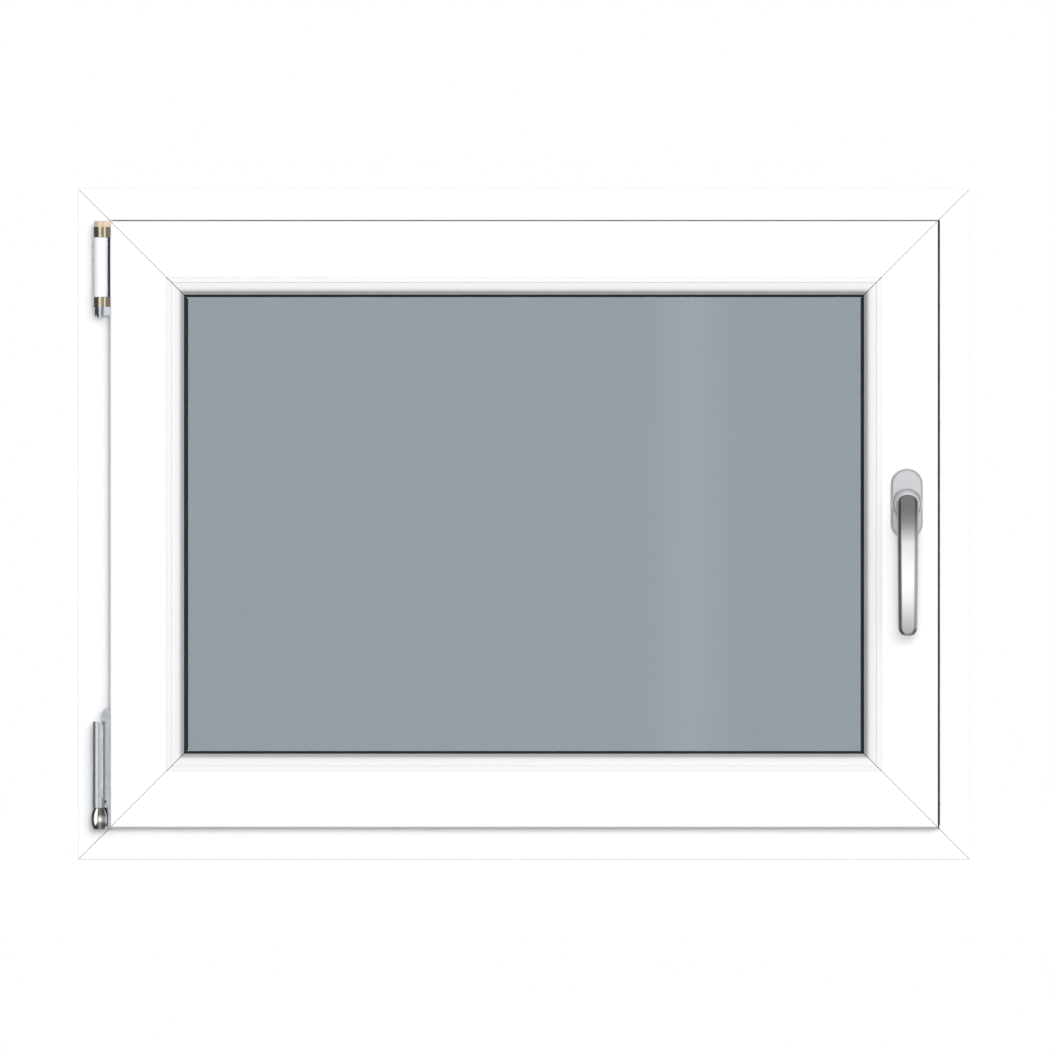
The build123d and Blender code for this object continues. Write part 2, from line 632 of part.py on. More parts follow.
def corner_hinge_band():
    """Sash side of the corner hinge: leaf with a round top, and the barrel with a groove between them."""
    top = sash_edge_u + CORNER_BAND_HEIGHT
    leaf = band_plate(CORNER_BAND_THICKNESS, CORNER_BAND_SETBACK, sash_edge_u, top)
    upper = leaf.edges().filter_by(Axis.Y).group_by(Axis.Z)[-1]
    leaf = fillet(upper, CORNER_BAND_THICKNESS / 2 - EDGE_ROUND / 2)
    leaf -= hinge_disc(CORNER_POT_RADIUS + HINGE_RUNNING_GAP, corner_pot_bottom, corner_barrel_bottom)
    body = leaf + hinge_disc(CORNER_BARREL_RADIUS, corner_barrel_bottom, corner_barrel_top)
    body += band_arm(CORNER_WEB_HALF_DEPTH, corner_barrel_bottom, corner_barrel_top)
    groove_right = sash_left_x - CORNER_BAND_THICKNESS
    groove_floor = sash_room_y + CORNER_BAND_SETBACK + CORNER_GROOVE_DEPTH
    body -= block(
        (groove_right - CORNER_GROOVE_WIDTH, groove_right),
        (groove_floor - CORNER_BARREL_RADIUS, groove_floor),
        (corner_barrel_bottom + CORNER_GROOVE_FOOT, corner_barrel_top - CORNER_GROOVE_HEAD),
    )
    return body - hinge_disc(pin_bore, corner_barrel_bottom, corner_barrel_top)


def corner_pot():
    """Turned pot with a round belly between its foot and its rim."""
    height = corner_pot_top - corner_pot_bottom
    foot = (CORNER_POT_FOOT_RADIUS, 0)
    belly = (CORNER_POT_RADIUS, CORNER_POT_BELLY * height)
    rim = (CORNER_POT_RIM_RADIUS, height)
    outline = Polyline(rim, (0, height), (0, 0), foot) + ThreePointArc(foot, belly, rim)
    upright = Plane(origin=(hinge_x, hinge_y, corner_pot_bottom), x_dir=(1, 0, 0), z_dir=(0, -1, 0))
    return revolve(upright * make_face(outline), Axis((hinge_x, hinge_y, 0), (0, 0, 1)))


def corner_bearing_bracket():
    """Frame side of the corner hinge: plate with the arm that carries the pot."""
    body = hinge_base(corner_pot_bottom, corner_pot_bottom + CORNER_BRACKET_HEIGHT)
    body += hinge_web(corner_pot_bottom, corner_pot_bottom + CORNER_ARM_HEIGHT)
    return body - corner_pot()


def corner_bearing_pivot():
    """Turned pot with the pin that carries the sash."""
    return corner_pot() + hinge_disc(HINGE_PIN_RADIUS, corner_pot_top, corner_barrel_top)


# Drainage
def drain_slot(x):
    """Slot through the weather face of the bottom frame member."""
    x_range = (x - DRAIN_SLOT_LENGTH / 2, x + DRAIN_SLOT_LENGTH / 2)
    y_range = (frame_weather_y - DRAIN_SLOT_DEPTH, frame_weather_y)
    z_range = (DRAIN_FROM_BOTTOM - DRAIN_SLOT_HEIGHT / 2, DRAIN_FROM_BOTTOM + DRAIN_SLOT_HEIGHT / 2)
    return block(x_range, y_range, z_range)


def drain_cap(x):
    """Hood over a drain slot, open at its lower edge."""
    x_range = (x - DRAIN_CAP_LENGTH / 2, x + DRAIN_CAP_LENGTH / 2)
    y_range = (frame_weather_y, frame_weather_y + DRAIN_CAP_DEPTH)
    z_range = (DRAIN_FROM_BOTTOM - DRAIN_CAP_HEIGHT / 2, DRAIN_FROM_BOTTOM + DRAIN_CAP_HEIGHT / 2)
    hood = block(x_range, y_range, z_range)
    front = hood.faces().sort_by(Axis.Y)[-1]
    hood = fillet(front.edges(), DRAIN_CAP_ROUND)
    inner_x = (x_range[0] + DRAIN_CAP_WALL, x_range[1] - DRAIN_CAP_WALL)
    inner_y = (y_range[0], y_range[1] - DRAIN_CAP_WALL)
    inner_z = (z_range[0], z_range[1] - DRAIN_CAP_WALL)
    return hood - block(inner_x, inner_y, inner_z)


def frame_members():
    """The four welded frame bars."""
    welds = ((FRAME_DEPTH, 0, FRAME_FACE), (0, 0, frame_leg_u - LEG_SLOPE_RUN))
    profile = frame_section()
    names = {"bottom": "frame_sill", "top": "frame_head", "left": "frame_hinge_jamb", "right": "frame_handle_jamb"}
    bars = {names[side]: mitred_bar(profile, side, welds=welds) for side in SIDES}
    for x in (-DRAIN_SPACING / 2, DRAIN_SPACING / 2):
        bars["frame_sill"] -= drain_slot(x)
    return bars


def sash_members():
    """The four welded sash bars."""
    welds = ((sash_room_v, sash_edge_u, bead_joint_u), (sash_back_v, sash_body_u, sash_leg_u - LEG_SLOPE_RUN))
    profile = sash_section()
    names = {"bottom": "sash_bottom_rail", "top": "sash_top_rail", "left": "sash_hinge_stile",
             "right": "sash_handle_stile"}
    return {names[side]: mitred_bar(profile, side, welds=welds) for side in SIDES}


def bead_members():
    """The four clip-in glazing beads."""
    profile = bead_section()
    names = {"bottom": "bead_bottom", "top": "bead_top", "left": "bead_hinge_side", "right": "bead_handle_side"}
    return {names[side]: mitred_bar(profile, side, gap=BEAD_MITRE_GAP) for side in SIDES}


def window():
    """Every solid of the window by node name."""
    return {
        **frame_members(),
        **sash_members(),
        **bead_members(),
        "frame_gasket": frame_seal(),
        "sash_gasket": sash_seal(),
        "outer_glazing_gasket": outer_glazing_seal(),
        "bead_gasket": bead_seal(),
        "glass_outer_pane": pane(outer_pane_v),
        "glass_inner_pane": pane(inner_pane_v),
        "glass_spacer": spacer(),
        "handle_rosette": handle_rosette(),
        "handle_collar": handle_collar(),
        "handle_lever": handle_lever(),
        "stay_bearing_bracket": stay_bearing_bracket(),
        "stay_bearing_cap": stay_bearing_cap(),
        "stay_arm_band": stay_arm_band(),
        "stay_top_strap": stay_top_strap(),
        "stay_bearing_pin": stay_bearing_pin(),
        "corner_hinge_band": corner_hinge_band(),
        "corner_bearing_bracket": corner_bearing_bracket(),
        "corner_bearing_pivot": corner_bearing_pivot(),
        "drain_cap_left": drain_cap(-DRAIN_SPACING / 2),
        "drain_cap_right": drain_cap(DRAIN_SPACING / 2),
    }


os.makedirs("parts", exist_ok=True)
for node, shape in window().items():
    export_step(shape, "parts/" + node + ".step")
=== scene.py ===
import math

import bmesh
import bpy
from bpy.props import FloatProperty, FloatVectorProperty, PointerProperty
from bpy.types import Operator, Panel, PropertyGroup
from mathutils import Matrix, Vector


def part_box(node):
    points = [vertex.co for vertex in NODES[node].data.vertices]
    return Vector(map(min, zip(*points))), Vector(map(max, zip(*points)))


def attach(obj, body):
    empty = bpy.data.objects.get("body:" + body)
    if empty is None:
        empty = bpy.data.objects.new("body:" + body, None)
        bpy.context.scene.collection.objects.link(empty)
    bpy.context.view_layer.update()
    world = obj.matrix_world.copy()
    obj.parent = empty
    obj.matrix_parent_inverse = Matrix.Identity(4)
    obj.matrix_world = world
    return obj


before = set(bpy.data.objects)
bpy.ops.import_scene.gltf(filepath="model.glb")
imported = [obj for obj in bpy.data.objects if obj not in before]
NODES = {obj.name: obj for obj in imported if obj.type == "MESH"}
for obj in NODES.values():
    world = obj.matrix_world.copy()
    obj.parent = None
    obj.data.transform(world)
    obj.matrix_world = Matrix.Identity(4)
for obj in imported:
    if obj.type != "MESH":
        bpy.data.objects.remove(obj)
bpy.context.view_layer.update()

bl_info = {
    "name": "Tilt-and-turn window finishes",
    "version": (1, 0, 0),
    "blender": (4, 5, 0),
    "location": "3D View > Sidebar > Window",
    "description": "Finishes, small fittings and studio for a white tilt-and-turn window",
    "category": "Object",
}

MM = 0.001

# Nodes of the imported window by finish
LEVEL_BARS = ("frame_head", "frame_sill", "sash_top_rail", "sash_bottom_rail")
UPRIGHT_BARS = ("frame_hinge_jamb", "frame_handle_jamb", "sash_hinge_stile", "sash_handle_stile")
LEVEL_BEADS = ("bead_top", "bead_bottom")
UPRIGHT_BEADS = ("bead_hinge_side", "bead_handle_side")
MOULDED_COVERS = ("stay_bearing_cap", "drain_cap_left", "drain_cap_right")
SEALS = ("frame_gasket", "sash_gasket", "outer_glazing_gasket", "bead_gasket")
PANES = ("glass_outer_pane", "glass_inner_pane")
BRIGHT_PARTS = ("stay_bearing_pin", "corner_bearing_pivot")
BRACKETS = ("stay_bearing_bracket", "corner_bearing_bracket")

# Axes and directions
X, Y, Z = range(3)
TO_ROOM = Vector((0, -1, 0))
TO_WEATHER = Vector((0, 1, 0))
QUARTER_TURN = math.radians(90)

# Patterns of the finishes
PLAIN = (1, 1, 1)
LEVEL_GRAIN = (4, 700, 700)
UPRIGHT_GRAIN = (700, 700, 4)
MOULDING_GRAIN = (500, 500, 500)
MILL_GRAIN = (60, 60, 60)
BRUSH_GRAIN = (2200, 2200, 12)
FINE_RELIEF = 0.02 * MM
COARSE_RELIEF = 0.05 * MM
PLATE_SPREAD = 0.14
BAND_BLUR = 0.3 * MM

# Weld seams
FRAME_WEATHER_SEAM = 57 * MM
SASH_LIP = 20 * MM
SASH_WEATHER_SEAM = 50 * MM
BEAD_FOOT = 2.7 * MM
STRIP_BEVEL = 0.25

# Bands of colour on the hinges; the groove band is painted light and the block band a painted reflection
CORNER_LEAF = 7.0 * MM
CORNER_GROOVE = 3.2 * MM
STAY_EYE = 10.2 * MM
STAY_BLOCK = 4.6 * MM

# Hinge screws; a screw's own sizes are shares of its radius or height
BRACKET_PLATE = 3.5 * MM
SCREW_HEIGHTS = (0.62, 0.84)
SCREW_INSET = 1.15
SCREW_LOBES = 6
SIDES_PER_LOBE = 4
HEAD_HEIGHT = 0.45
HEAD_TOP = 0.84
HEAD_RIM = 0.26
SOCKET_WAIST = 0.74
SOCKET_DEPTH = 0.7
LEAF_SETBACK = 1.0 * MM
ADJUSTER_FROM_SASH = 5.0 * MM
ADJUSTER_HEIGHT = 26.0 * MM
ADJUSTER_SIZE = 0.8
ADJUSTER_LOBES = 3
# Black of the adjuster: painted shade standing in for a dark hole in the lower leaf.
ADJUSTER_HOLE_SHADE = (0.05, 0.05, 0.06)

# Spacer and sash seal
SPACER_HEIGHT = 10.5 * MM
HOLE_RADIUS = 0.45 * MM
HOLE_SIDES = 8
HOLE_STRETCH = 2
HOLE_RISE = 0.2
SEAL_LINE = 0.8 * MM
# The lip reaches further on the handle side than at the top, so its black line, partly a real seal and
# partly painted shade of the gap, is stronger there.
LIP_REACH_SIDE = 2.5 * MM
LIP_REACH_TOP = 1.3 * MM
LIP_WIDTH = 2.0 * MM
LIP_THICKNESS = 1.5 * MM
LIP_LIFT = 2.0 * MM

# Studio
WHITE = (1, 1, 1, 1)
BLACK = (0, 0, 0, 1)
SENSOR_WIDTH = 36.0
CLIP_END = 100
KEY_PLACE = (1.4, -6.0, 1.9)
KEY_SIZE = 3.0
FILL_PLACE = (0.1, -6.6, 0.9)
FILL_SIZE = 1.7
BACK_PLACE = (-0.8, 6.6, 1.8)
BACK_SIZE = 2.2
FLOOR_RADIUS = 3.0
FLOOR_SIDES = 96
FLOOR_DROP = 0.5 * MM
FLOOR_WHITE = (0.9, 0.9, 0.9)
FLOOR_GLOW = 0.45

# The mirrored room: limits of its changes in height and across, and how dark its sides are
ROOM_ABOVE = (-0.07, 0.4)
ROOM_BELOW = (-0.36, -0.12)
ROOM_LEFT = (-0.5, -0.15)
ROOM_RIGHT = (0.2, 0.6)
LEFT_FALL = 3
RIGHT_LIFT = 1.5

# Cards of light
CARD_REACH = 125 * MM
CARD_FADE = 1.1
CARD_GAP = 55 * MM
CARD_FORWARD = 57 * MM
CARD_DEPTH = 92 * MM
STREAK_X = 196 * MM
STREAK_Y = -3.06
STREAK_Z = 0.34
STREAK_HEIGHT = 1.4


# Values that a user would change
class ProfileSettings(PropertyGroup):
    """Look of the white plastic bars and covers."""

    white: FloatVectorProperty(
        name="White", description="Colour of the plastic bars",
        subtype="COLOR", default=(0.86, 0.865, 0.875),
    )
    cover_white: FloatVectorProperty(
        name="Cover white", description="Colour of the moulded covers",
        subtype="COLOR", default=(0.78, 0.8, 0.83),
    )
    # The bead white is painted shade: a greyer copy of the bar white that stands in for the shade on the
    # beads' slopes.
    bead_shaded_white: FloatVectorProperty(
        name="Bead white", description="Colour of the glazing beads",
        subtype="COLOR", default=(0.73, 0.73, 0.74),
    )
    # The seam grey is painted shade: darker than the bar, it stands in for the shade in the weld-seam
    # grooves.
    seam_shade_grey: FloatVectorProperty(
        name="Seam grey", description="Colour of the cleaned weld seams",
        subtype="COLOR", default=(0.37, 0.36, 0.37),
    )
    seam_width: FloatProperty(
        name="Seam width", description="Width of a weld seam", default=1.1 * MM, unit="LENGTH",
    )
    seam_depth: FloatProperty(
        name="Seam depth", description="How far a seam lies below the face",
        default=0.15 * MM, unit="LENGTH",
    )


class GlazingSettings(PropertyGroup):
    """Look of the panes, the spacer and the seals."""

    tint: FloatVectorProperty(
        name="Glass tint", description="Colour that a pane leaves in light", subtype="COLOR",
        default=(0.497, 0.536, 0.567),
    )
    spacer_grey: FloatVectorProperty(
        name="Spacer grey", description="Colour of the metal spacer",
        subtype="COLOR", default=(0.55, 0.56, 0.58),
    )
    seal_black: FloatVectorProperty(
        name="Seal black", description="Colour of the rubber seals",
        subtype="COLOR", default=(0.018, 0.018, 0.02),
    )
    hole_pitch: FloatProperty(
        name="Hole pitch", description="Distance between the spacer's drying holes",
        default=9 * MM, unit="LENGTH",
    )


class HandleSettings(PropertyGroup):
    """Look of the lever, collar and rosette."""

    silver: FloatVectorProperty(
        name="Lever silver", description="Colour of the brushed lever",
        subtype="COLOR", default=(0.86, 0.86, 0.87),
    )
    rosette_silver: FloatVectorProperty(
        name="Rosette silver", description="Colour of the rosette and collar", subtype="COLOR",
        default=(0.8, 0.79, 0.82),
    )


class HingeSettings(PropertyGroup):
    """Look of the hinges and their screws."""

    zinc: FloatVectorProperty(
        name="Zinc", description="Colour of the bluish zinc plate",
        subtype="COLOR", default=(0.56, 0.6, 0.65),
    )
    pale_zinc: FloatVectorProperty(
        name="Pale zinc", description="Colour of the upper bracket",
        subtype="COLOR", default=(0.82, 0.83, 0.85),
    )
    yellow_zinc: FloatVectorProperty(
        name="Yellow zinc", description="Colour of the yellow passivated strap", subtype="COLOR",
        default=(0.75, 0.6, 0.44),
    )
    brass: FloatVectorProperty(
        name="Brass", description="Colour of the eyes of the upper hinge",
        subtype="COLOR", default=(0.72, 0.64, 0.48),
    )
    # The brown block colour is a painted reflection: a copper-brown band on the plate beside the eyes.
    painted_reflection_brown: FloatVectorProperty(
        name="Brown block", description="Colour of the blocks beside the eyes",
        subtype="COLOR", default=(0.2, 0.147, 0.108),
    )
    # The dark leaf colour is painted shade: near-black on the leaf beside the cap, where the gap lies in
    # shade.
    dark: FloatVectorProperty(
        name="Dark leaf", description="Colour of the leaf behind the cap",
        subtype="COLOR", default=(0.03, 0.03, 0.045),
    )
    # The groove colour is painted light: a pale beige band that brightens the dip between barrel and leaf.
    groove_painted_light: FloatVectorProperty(
        name="Groove", description="Colour of the lower hinge's groove",
        subtype="COLOR", default=(0.78, 0.78, 0.72),
    )
    bright: FloatVectorProperty(
        name="Bright plate", description="Colour of the pins and the pot",
        subtype="COLOR", default=(0.75, 0.75, 0.74),
    )
    screw_radius: FloatProperty(
        name="Screw head radius", description="Radius of the hinge screws' heads",
        default=2.0 * MM, unit="LENGTH",
    )


class StudioSettings(PropertyGroup):
    """Camera and light of the picture."""

    picture_width: FloatProperty(
        name="Picture width", description="Width that the picture covers at the sash",
        default=1057.8 * MM, unit="LENGTH",
    )
    picture_centre_x: FloatProperty(
        name="Picture centre X", description="Middle of the picture across",
        default=1.0 * MM, unit="LENGTH",
    )
    picture_centre_z: FloatProperty(
        name="Picture centre Z", description="Middle of the picture in height",
        default=337.7 * MM, unit="LENGTH",
    )
    lens: FloatProperty(
        name="Lens", description="Focal length of the camera", default=600.0, unit="CAMERA",
    )
    glow: FloatProperty(
        name="Glow", description="Strength of the bright band behind the camera", default=1.5,
    )
    ambient: FloatProperty(name="Ambient", description="Strength of the even soft light", default=0.5)
    dusk: FloatProperty(
        name="Dusk", description="Share of the sky left above, beside and below the camera",
        default=0.22, subtype="FACTOR",
    )
    key: FloatProperty(name="Key", description="Power of the main light", default=140.0, unit="POWER")
    fill: FloatProperty(
        name="Fill", description="Power of the light beside the camera", default=210.0, unit="POWER",
    )
    back: FloatProperty(
        name="Back", description="Power of the light on the weather side", default=200.0, unit="POWER",
    )
    hinge_glow: FloatProperty(
        name="Hinge glow", description="Strength of the card beside the lower hinge", default=1.5,
    )
    streak: FloatProperty(
        name="Streak", description="Strength of the strip of light in the glass", default=0.8,
    )
    streak_width: FloatProperty(
        name="Streak width", description="Width of the strip of light", default=130 * MM, unit="LENGTH",
    )


class WindowSettings(PropertyGroup):
    """All settings of the window."""

    profile: PointerProperty(type=ProfileSettings)
    glazing: PointerProperty(type=GlazingSettings)
    handle: PointerProperty(type=HandleSettings)
    hinge: PointerProperty(type=HingeSettings)
    studio: PointerProperty(type=StudioSettings)


# Node helpers
def new_finish(name):
    """New material with a plain shader; returns the material and the shader node."""
    material = bpy.data.materials.new(name)
    material.use_nodes = True
    return material, material.node_tree.nodes["Principled BSDF"]


def place(material, scale=PLAIN):
    """Object coordinates, stretched by a scale on each axis."""
    nodes = material.node_tree.nodes
    coordinate = nodes.new("ShaderNodeTexCoord")
    mapping = nodes.new("ShaderNodeMapping")
    mapping.inputs["Scale"].default_value = scale
    material.node_tree.links.new(coordinate.outputs["Object"], mapping.inputs["Vector"])
    return mapping.outputs["Vector"]


def noise(material, vector, scale, detail=4.0, roughness=0.55):
    """Noise pattern from a vector."""
    node = material.node_tree.nodes.new("ShaderNodeTexNoise")
    node.inputs["Scale"].default_value = scale
    node.inputs["Detail"].default_value = detail
    node.inputs["Roughness"].default_value = roughness
    material.node_tree.links.new(vector, node.inputs["Vector"])
    return node.outputs["Fac"]


def cells(material, vector, scale):
    """Pattern of crystal-like cells, each with its own even value."""
    node = material.node_tree.nodes.new("ShaderNodeTexVoronoi")
    node.inputs["Scale"].default_value = scale
    material.node_tree.links.new(vector, node.inputs["Vector"])
    return node.outputs["Color"]


def spread(material, value, low, high):
    """Value from a pattern, moved to the range low to high."""
    node = material.node_tree.nodes.new("ShaderNodeMapRange")
    node.inputs["To Min"].default_value = low
    node.inputs["To Max"].default_value = high
    material.node_tree.links.new(value, node.inputs["Value"])
    return node.outputs["Result"]


def two_tone(material, value, colour, change):
    """Colour that a pattern takes from one shade to another, change times as bright."""
    node = material.node_tree.nodes.new("ShaderNodeMix")
    node.data_type = "RGBA"
    node.inputs["A"].default_value = (*colour, 1)
    node.inputs["B"].default_value = (*[min(1.0, part * change) for part in colour], 1)
    material.node_tree.links.new(value, node.inputs["Factor"])
    return node.outputs["Result"]


def bumpy(material, shader, height, strength, distance):
    """Fine relief from a pattern."""
    node = material.node_tree.nodes.new("ShaderNodeBump")
    node.inputs["Strength"].default_value = strength
    node.inputs["Distance"].default_value = distance
    material.node_tree.links.new(height, node.inputs["Height"])
    material.node_tree.links.new(node.outputs["Normal"], shader.inputs["Normal"])


def feed(material, shader, socket, value):
    """Links a pattern to one of the shader's sockets."""
    material.node_tree.links.new(value, shader.inputs[socket])


def dress(material, *names):
    """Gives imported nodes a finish."""
    for name in names:
        node = NODES[name]
        if node.material_slots:
            node.material_slots[0].material = material
        else:
            node.data.materials.append(material)


def ramp_node(tree, value, low, high, at_low, at_high):
    """Smooth change of a value between two limits."""
    node = tree.nodes.new("ShaderNodeMapRange")
    node.interpolation_type = "SMOOTHSTEP"
    node.inputs["From Min"].default_value = low
    node.inputs["From Max"].default_value = high
    node.inputs["To Min"].default_value = at_low
    node.inputs["To Max"].default_value = at_high
    tree.links.new(value, node.inputs["Value"])
    return node.outputs["Result"]


def combine(tree, operation, first, second):
    """Result of a sum on two values."""
    node = tree.nodes.new("ShaderNodeMath")
    node.operation = operation
    tree.links.new(first, node.inputs[0])
    tree.links.new(second, node.inputs[1])
    return node.outputs["Value"]


# Finishes
def white_plastic(name, white, grain):
    """Smooth white plastic with faint drawing lines along the bar."""
    material, shader = new_finish(name)
    lines = noise(material, place(material, grain), scale=1.0)
    clouds = noise(material, place(material), scale=6.0, detail=2.0)
    feed(material, shader, "Base Color", two_tone(material, clouds, white, change=1.02))
    feed(material, shader, "Roughness", spread(material, lines, low=0.3, high=0.42))
    bumpy(material, shader, lines, strength=0.05, distance=FINE_RELIEF)
    shader.inputs["Specular IOR Level"].default_value = 0.4
    return material


def seam_shade_finish(grey):
    """Weld seam strip in painted shade: darker grey standing in for the shade in the seam groove, and
    duller than the bar.
    """
    material, shader = new_finish("weld_seam")
    grain = noise(material, place(material), scale=700.0)
    feed(material, shader, "Base Color", two_tone(material, grain, grey, change=1.15))
    feed(material, shader, "Roughness", spread(material, grain, low=0.5, high=0.65))
    bumpy(material, shader, grain, strength=0.2, distance=COARSE_RELIEF)
    return material


def black_rubber_and_shade(black):
    """Matt extruded rubber with a fine grain; the same black also serves as painted shade on the spacer
    holes and the hinge adjuster.
    """
    material, shader = new_finish("black_rubber_and_shade")
    grain = noise(material, place(material), scale=900.0)
    dust = noise(material, place(material), scale=40.0)
    feed(material, shader, "Base Color", two_tone(material, dust, black, change=1.8))
    feed(material, shader, "Roughness", spread(material, grain, low=0.5, high=0.68))
    bumpy(material, shader, grain, strength=0.15, distance=COARSE_RELIEF)
    shader.inputs["Specular IOR Level"].default_value = 0.2
    return material


def tinted_glass(tint):
    """Polished glass that takes a grey-blue share of the light."""
    material, shader = new_finish("tinted_glass")
    depth = noise(material, place(material), scale=1.5, detail=1.0)
    feed(material, shader, "Base Color", two_tone(material, depth, tint, change=1.03))
    shader.inputs["Transmission Weight"].default_value = 1.0
    shader.inputs["Roughness"].default_value = 0.0
    shader.inputs["IOR"].default_value = 1.5
    return material


def spacer_metal(grey):
    """Mill-finish spacer."""
    material, shader = new_finish("spacer_metal")
    grain = noise(material, place(material, MILL_GRAIN), scale=12.0)
    feed(material, shader, "Base Color", two_tone(material, grain, grey, change=1.15))
    feed(material, shader, "Roughness", spread(material, grain, low=0.35, high=0.5))
    shader.inputs["Metallic"].default_value = 1.0
    return material


def brushed_silver(silver):
    """Lever metal, brushed along its length."""
    material, shader = new_finish("brushed_silver")
    strokes = noise(material, place(material, BRUSH_GRAIN), scale=1.0, detail=3.0)
    cloud = noise(material, place(material), scale=35.0)
    feed(material, shader, "Base Color", two_tone(material, cloud, silver, change=1.06))
    feed(material, shader, "Roughness", spread(material, strokes, low=0.24, high=0.36))
    bumpy(material, shader, strokes, strength=0.12, distance=FINE_RELIEF)
    shader.inputs["Metallic"].default_value = 1.0
    shader.inputs["Anisotropic"].default_value = 0.4
    return material


def satin_silver(silver):
    """Rosette metal with a fine even blast."""
    material, shader = new_finish("satin_silver")
    grain = noise(material, place(material), scale=1600.0, detail=2.0)
    cloud = noise(material, place(material), scale=45.0)
    feed(material, shader, "Base Color", two_tone(material, cloud, silver, change=1.05))
    feed(material, shader, "Roughness", spread(material, grain, low=0.42, high=0.55))
    bumpy(material, shader, grain, strength=0.08, distance=FINE_RELIEF)
    shader.inputs["Metallic"].default_value = 0.75
    return material


def plated(name, colour, roughness, change, metallic=1.0, bands=()):
    """Plated steel with handling marks; bands of (axis, colour, low, high) lie over it."""
    material, shader = new_finish(name)
    tree = material.node_tree
    patches = cells(material, place(material), scale=420.0)
    smears = noise(material, place(material), scale=120.0, detail=6.0)
    axes = tree.nodes.new("ShaderNodeSeparateXYZ")
    tree.links.new(place(material), axes.inputs["Vector"])
    shade = two_tone(material, smears, colour, change)
    for axis, band_colour, low, high in bands:
        rise = ramp_node(tree, axes.outputs[axis], low - BAND_BLUR, low + BAND_BLUR, 0.0, 1.0)
        fall = ramp_node(tree, axes.outputs[axis], high - BAND_BLUR, high + BAND_BLUR, 1.0, 0.0)
        mix = tree.nodes.new("ShaderNodeMix")
        mix.data_type = "RGBA"
        tree.links.new(combine(tree, "MULTIPLY", rise, fall), mix.inputs["Factor"])
        tree.links.new(shade, mix.inputs["A"])
        tree.links.new(two_tone(material, smears, band_colour, change), mix.inputs["B"])
        shade = mix.outputs["Result"]
    feed(material, shader, "Base Color", shade)
    feed(material, shader, "Roughness", spread(material, patches, roughness, roughness + PLATE_SPREAD))
    bumpy(material, shader, smears, strength=0.15, distance=COARSE_RELIEF)
    shader.inputs["Metallic"].default_value = metallic
    return material


# Piece helpers
def finish_piece(name, mesh_builder, material):
    """New piece from a filled bmesh, fixed to the window body."""
    mesh = bpy.data.meshes.new(name)
    bmesh.ops.recalc_face_normals(mesh_builder, faces=mesh_builder.faces)
    mesh_builder.to_mesh(mesh)
    mesh_builder.free()
    piece = bpy.data.objects.new(name, mesh)
    bpy.context.scene.collection.objects.link(piece)
    mesh.materials.append(material)
    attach(piece, "window")


def add_strip(builder, start, end, face_normal, width, thickness):
    """Rounded strip between two points, its upper side towards face_normal."""
    along = (end - start).normalized()
    side = face_normal.cross(along)
    turn = Matrix((along, side, face_normal)).transposed().to_4x4()
    middle = Matrix.Translation((start + end) / 2)
    size = Matrix.Diagonal(((end - start).length, width, thickness, 1))
    made = bmesh.ops.create_cube(builder, size=1.0, matrix=middle @ turn @ size)
    edges = {edge for vert in made["verts"] for edge in vert.link_edges}
    bmesh.ops.bevel(
        builder, geom=list(edges), offset=thickness * STRIP_BEVEL, segments=1, profile=0.5, affect="EDGES",
        material=-1,
    )


def bar_span(node, axis):
    """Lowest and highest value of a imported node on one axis."""
    low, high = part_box(node)
    return low[axis], high[axis]


# Weld seams along the mitres, grey strips painted as the shade of the seam grooves
def corner_seams(builder, left, right, low, high, width, depth, face_y, normal, inset):
    """Four seams from the corners of a rectangle inwards, in one face of the bars."""
    lift = Vector((0, normal * (width / 2 + depth), 0))
    for x, inward_x in ((left, 1), (right, -1)):
        for z, inward_z in ((low, 1), (high, -1)):
            inward = Vector((inward_x, 0, inward_z))
            start = Vector((x, face_y, z)) - lift + inward * width
            end = start + inward * (inset - width)
            add_strip(builder, start, end, Vector((0, normal, 0)), width, width)


class WINDOW_OT_weld_seams(Operator):
    """Thin cleaned seams in the welded corners of frame and sash, their grey a painted shade of the grooves
    """

    bl_idname = "window_part.weld_seams"
    bl_label = "Weld seams"

    def execute(self, context):
        profile = context.scene.window_part.profile
        material = seam_shade_finish(profile.seam_shade_grey)
        frame_x = bar_span("frame_head", X)
        frame_z = bar_span("frame_hinge_jamb", Z)
        sash_x = bar_span("sash_top_rail", X)
        sash_z = bar_span("sash_hinge_stile", Z)
        room_y, weather_y = bar_span("frame_head", Y)
        sash_room_y, sash_weather_y = bar_span("sash_top_rail", Y)
        overlap = sash_x[0] - frame_x[0]
        builder = bmesh.new()
        size = (profile.seam_width, profile.seam_depth)
        corner_seams(builder, *frame_x, *frame_z, *size, room_y, -1, overlap)
        corner_seams(builder, *frame_x, *frame_z, *size, weather_y, 1, FRAME_WEATHER_SEAM)
        finish_piece("frame_weld_seams", builder, material)
        builder = bmesh.new()
        bead_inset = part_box("bead_hinge_side")[0][X] + BEAD_FOOT - sash_x[0]
        corner_seams(builder, *sash_x, *sash_z, *size, sash_room_y, -1, bead_inset)
        body_x = (sash_x[0] + SASH_LIP, sash_x[1] - SASH_LIP)
        body_z = (sash_z[0] + SASH_LIP, sash_z[1] - SASH_LIP)
        corner_seams(builder, *body_x, *body_z, *size, sash_weather_y, 1, SASH_WEATHER_SEAM)
        finish_piece("sash_weld_seams", builder, material)
        return {"FINISHED"}


# Hinge screws and adjusters
def pointing(centre, normal):
    """Matrix that puts a piece's upper side at centre, towards normal."""
    return Matrix.Translation(centre) @ normal.to_track_quat("Z", "Y").to_matrix().to_4x4()


